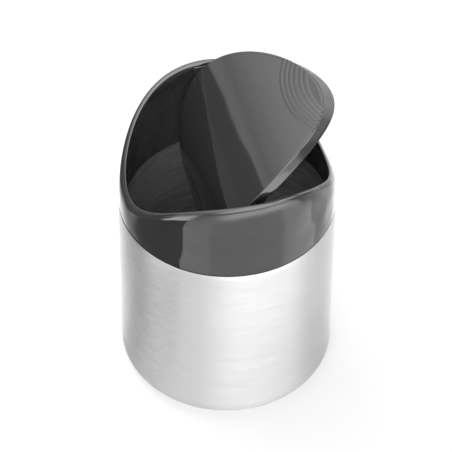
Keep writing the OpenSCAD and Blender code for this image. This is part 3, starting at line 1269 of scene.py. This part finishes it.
@dataclass
class Studio:
    """The pale floor, the room that the gloss reflects, and the soft lamps.

    The eye sees plain white. Gloss sees what such a studio has: an apron close round the bin, a
    white sheet with a black card on its left, light panels, dim walls with a tall cupboard and
    windows, one soft box and a white ceiling. Bearings and soft edges are in degrees round the
    bin, 0 towards the camera and 90 to its right. The floor's edges are in metres from its middle,
    and the room's are a direction's rise. A stop is a bearing, or a rise for the ceiling, and its
    brightness.
    """

    camera: PhotoCamera
    floor_half: float = 6.0
    floor_colour: float = 0.28
    floor_glow: float = 0.645
    room_light: float = 0.38
    card_edge: Span = (0.12, 0.145)
    card_sides: Span = (-105.0, -40.0)
    card_softness: Span = (26.0, 1.5)
    card_black: float = 0.81
    left_panel_edge: Span = (0.39, 0.46)
    front_panel_edge: Span = (0.19, 0.43)
    panel_sides: Span = (-38.0, 0.0)
    gap_edge: Span = (1.0, 1.7)
    gap_sides: Span = (-44.0, -34.0)
    ceiling_edge: Span = (0.225, 0.245)
    cupboard_sides: Span = (-120.75, -97.0)
    cupboard_softness: Span = (0.6, 0.6)
    cupboard_rise: float = 0.125
    window_edge: Span = (0.06, 0.18)
    brightest: float = 5.0
    box_bearing: float = 99.0
    box_elevation: float = 42.0
    box_spread: Span = (17.0, 11.0)
    box_level: float = 6.0
    apron_edge: Span = (0.14, 0.154)
    foot_edge: Span = (0.056, 0.07)
    foot_shade: float = 0.3
    apron: Stops = (
        (-180, 2.8), (-150, 2.4), (-128, 2.6), (-112, 2.0), (-100, 1.5), (-88, 0.82), (-76, 0.6),
        (-65, 0.74), (-45, 0.92), (-25, 1.27), (0, 1.4), (15, 1.35), (30, 1.17), (55, 0.9),
        (75, 0.66), (90, 0.85), (105, 1.4), (125, 1.95), (150, 2.8), (180, 2.8),
    )
    sheet: Stops = (
        (-180, 2.5), (-145, 2.3), (-132, 1.85), (-121, 1.5), (-112, 1.15), (-104, 1.0),
        (-60, 1.0), (-39, 1.32), (-16, 1.32), (-13, 1.12), (50, 1.12), (54, 1.45), (86, 1.5),
        (89, 0.95), (108, 0.92), (112, 1.2), (122, 1.3), (132, 1.6), (145, 1.6), (180, 2.3),
    )
    panels: Stops = (
        (-180, 0.6), (-150, 0.5), (-125, 0.2), (-81, 0.3), (-71, 3.9), (-44, 3.7), (-34, 0.9),
        (-20, 1.4), (5, 3.3), (50, 3.4), (68, 2.2), (76, 0.7), (108, 1.3), (135, 0.7),
        (160, 1.1), (180, 0.6),
    )
    walls: Stops = (
        (-180, 0.4), (-150, 0.7), (-125, 0.17), (-110, 0.17), (-100, 0.9), (-80, 1.6),
        (-48, 1.7), (-38, 0.75), (-15, 0.8), (20, 1.9), (68, 1.9), (75, 0.6), (98, 0.55),
        (116, 0.6), (120, 1.3), (132, 1.6), (150, 1.6), (180, 0.4),
    )
    windows: Stops = (
        (-180, 0.0), (-45, 0.0), (0, 4.0), (50, 4.3), (70, 3.1), (77, 0.3), (116, 0.3),
        (121, 1.4), (140, 2.0), (165, 2.1), (180, 0.0),
    )
    ceiling: Stops = (
        (0.0, 1.05), (0.36, 1.05), (0.46, 0.86), (0.6, 1.25), (0.7, 1.68), (0.8, 2.2),
        (1.0, 3.0),
    )
    lamps: tuple[Lamp, ...] = (
        Lamp("key", (-0.55, 0.95, 3.1), 2.0, 92.0),
        Lamp("fill", (-0.8, -2.3, 1.9), 2.0, 72.0),
    )

    def bearing(self, tree: Tree, place: Field) -> Field:
        """Gives the bearing of a place or direction, from 0 for -180 degrees to 1 for 180."""
        axes = (outward(self.camera.azimuth + side, 0.0) for side in (90.0, 0.0))
        right, toward = (tree.vector("DOT_PRODUCT", place, axis, out="Value") for axis in axes)
        return tree.math("ARCTAN2", right, toward) / math.tau + 0.5

    def ramp(self, tree: Tree, stops: Stops, place: Field) -> Field:
        """Gives a brightness that changes along stops, whose places are from 0 to 1."""
        scaled = [(at, level / self.brightest) for at, level in stops]
        ramp = tree.node("ShaderNodeValToRGB", {"Fac": place}, settings={"stops": scaled})
        return ramp * self.brightest

    def round_ramp(self, tree: Tree, stops: Stops, bearing: Field) -> Field:
        """Gives a brightness that changes with the bearing, from stops in degrees."""
        return self.ramp(tree, [(of_turn(degrees), level) for degrees, level in stops], bearing)

    def past(self, tree: Tree, bearing: Field, sides: Span) -> Field:
        """Rises from 0 to 1 as the bearing goes from one side to the other, in degrees."""
        return tree.ease(bearing, *map(of_turn, sides))

    def between(self, tree: Tree, bearing: Field, sides: Span, softness: Span) -> Field:
        """Gives 1 between two sides and 0 past them, with a soft edge of its own width at each."""
        edges = ((side - soft / 2, side + soft / 2) for side, soft in zip(sides, softness))
        near, far = (self.past(tree, bearing, edge) for edge in edges)
        return near * (1.0 - far)

    def floor_gloss(self, tree: Tree) -> Field:
        """Gives how bright the floor and what stands on it look in gloss."""
        place = tree.place()
        bearing = self.bearing(tree, place)
        away = tree.vector("LENGTH", place, out="Value")
        ramps = (self.apron, self.sheet, self.panels, self.walls)
        apron, sheet, panels, walls = (self.round_ramp(tree, stops, bearing) for stops in ramps)
        card = tree.ease(away, *self.card_edge) * self.card_black
        card = card * self.between(tree, bearing, self.card_sides, self.card_softness)
        foot = 1.0 - (1.0 - tree.ease(away, *self.foot_edge)) * self.foot_shade
        near = tree.blend(apron * foot, sheet * (1.0 - card), tree.ease(away, *self.apron_edge))
        edges = (tree.ease(away, *edge) for edge in (self.left_panel_edge, self.front_panel_edge))
        beyond = tree.blend(*edges, self.past(tree, bearing, self.panel_sides))
        gap = tree.ease(away, *self.gap_edge) * self.past(tree, bearing, self.gap_sides)
        return tree.blend(near, tree.blend(panels, walls, gap), beyond)

    def room_gloss(self, tree: Tree) -> Field:
        """Gives how bright the walls, the windows, the soft box and the ceiling look in gloss."""
        direction = tree.node("ShaderNodeTexCoord", out="Generated")
        _, _, up = tree.split(direction)
        bearing = self.bearing(tree, direction)
        cupboard = self.between(tree, bearing, self.cupboard_sides, self.cupboard_softness)
        high = tree.ease(up - cupboard * self.cupboard_rise, *self.ceiling_edge)
        walls = self.round_ramp(tree, self.walls, bearing)
        back = tree.blend(walls, self.ramp(tree, self.ceiling, up), high)
        window = self.round_ramp(tree, self.windows, bearing) * tree.ease(up, *self.window_edge)
        axis = outward(self.camera.azimuth + self.box_bearing, self.box_elevation)
        facing = tree.vector("DOT_PRODUCT", direction, axis, out="Value")
        spreads = (math.cos(math.radians(spread)) for spread in self.box_spread)
        box = tree.ease(facing, *spreads) * self.box_level
        return tree.math("MAXIMUM", tree.math("MAXIMUM", back, window), box)

    def floor(self) -> None:
        """Lays the floor, which is white to the eye and keeps the shadow."""
        half, grey = self.floor_half, self.floor_colour
        mesh = bpy.data.meshes.new("floor")
        ends = [(-half, -half, 0), (half, -half, 0), (half, half, 0), (-half, half, 0)]
        mesh.from_pydata(ends, [], [(0, 1, 2, 3)])
        material, tree = new_material("floor_paper")
        path = tree.node("ShaderNodeLightPath")
        eye, gloss = path.sibling("Is Camera Ray"), path.sibling("Is Glossy Ray")
        paper = tree.node("ShaderNodeBsdfDiffuse", {"Color": (grey, grey, grey, 1.0)})
        glow = tree.node("ShaderNodeEmission", {"Strength": eye * self.floor_glow})
        seen = tree.node("ShaderNodeAddShader", {0: paper, 1: glow})
        mirrored = tree.node("ShaderNodeEmission", {"Strength": self.floor_gloss(tree)})
        tree.surface(tree.node("ShaderNodeMixShader", {0: gloss, 1: seen, 2: mirrored}))
        mesh.materials.append(material)
        floor = placed("floor", mesh)

    def room(self) -> None:
        """Sets the world: white to the eye, plain light on the object, and a room in its gloss."""
        world = bpy.data.worlds.new("room")
        world.use_nodes = True
        bpy.context.scene.world = world
        tree = Tree(world.node_tree)
        path = tree.node("ShaderNodeLightPath")
        seen, gloss = path.sibling("Is Camera Ray"), path.sibling("Is Glossy Ray")
        plain = (1.0 - tree.math("MAXIMUM", seen, gloss)) * self.room_light
        level = seen + gloss * (1.0 - seen) * self.room_gloss(tree) + plain
        tree.surface(tree.node("ShaderNodeBackground", {"Color": (1, 1, 1, 1), "Strength": level}), "World")

    def lights(self) -> None:
        """Hangs the soft lamps, which light the object and cast its shadow."""
        for lamp in self.lamps:
            data = bpy.data.lights.new(lamp.name, "AREA")
            data.size = lamp.size
            data.energy = lamp.power
            hung = placed(lamp.name, data)
            hung.location = lamp.place
            hung.rotation_euler = Vector(lamp.place).to_track_quat("Z", "Y").to_euler()
            hung.visible_glossy = False

    def build(self) -> None:
        """Sets up the camera, the floor, the room and the lamps."""
        self.camera.build()
        self.floor()
        self.room()
        self.lights()
        bpy.context.scene.view_settings.view_transform = "Standard"


def main() -> None:
    """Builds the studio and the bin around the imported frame."""
    logging.basicConfig(level=logging.INFO, format="%(name)s: %(message)s")
    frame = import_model()
    sizes = BinSizes.from_frame(frame)
    Studio(PhotoCamera()).build()
    collar = Collar(sizes)
    for assembly in (SteelCan(sizes), collar, SwingLid(sizes, collar)):
        for piece in assembly.build():
            LOG.info("%s: %d faces", piece.name, len(piece.data.polygons))


if __name__ == "__main__":
    main()
